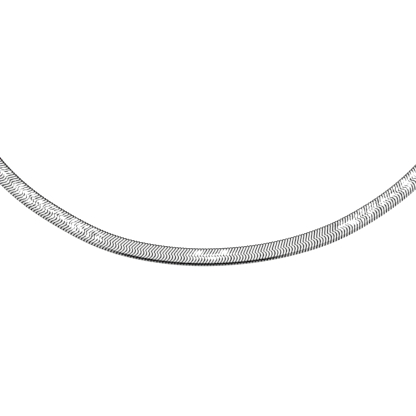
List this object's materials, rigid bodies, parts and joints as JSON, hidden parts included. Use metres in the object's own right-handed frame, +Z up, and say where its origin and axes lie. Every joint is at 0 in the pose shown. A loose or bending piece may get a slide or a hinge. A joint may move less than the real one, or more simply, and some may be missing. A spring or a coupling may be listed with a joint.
{
  "type": "herringbone chain necklace",
  "caption": "Flat woven herringbone chain necklace lying closed in a ring, with end caps, a round clasp and a jump ring at the back of the neck.",
  "frame": {"origin": "middle of the necklace's bounding box, on the surface that it lies on", "axes": "+Z up from the surface, -Y towards the front of the neck, +Y towards the clasp at the back, +X towards the half that the jump ring holds"},
  "size_m": [0.1504, 0.1514, 0.0032],
  "materials": {
    "chain": "sterling silver, rhodium plated and polished bright, woven links",
    "end_cap": "sterling silver, rhodium plated and polished",
    "clasp": "sterling silver, rhodium plated and polished",
    "jump_ring": "sterling silver wire, rhodium plated and polished"
  },
  "bodies": {
    "root": {"chain_left": "chain", "chain_right": "chain", "end_cap_left": "end_cap", "end_cap_right": "end_cap", "clasp": "clasp", "jump_ring": "jump_ring"}
  },
  "joints": []
}
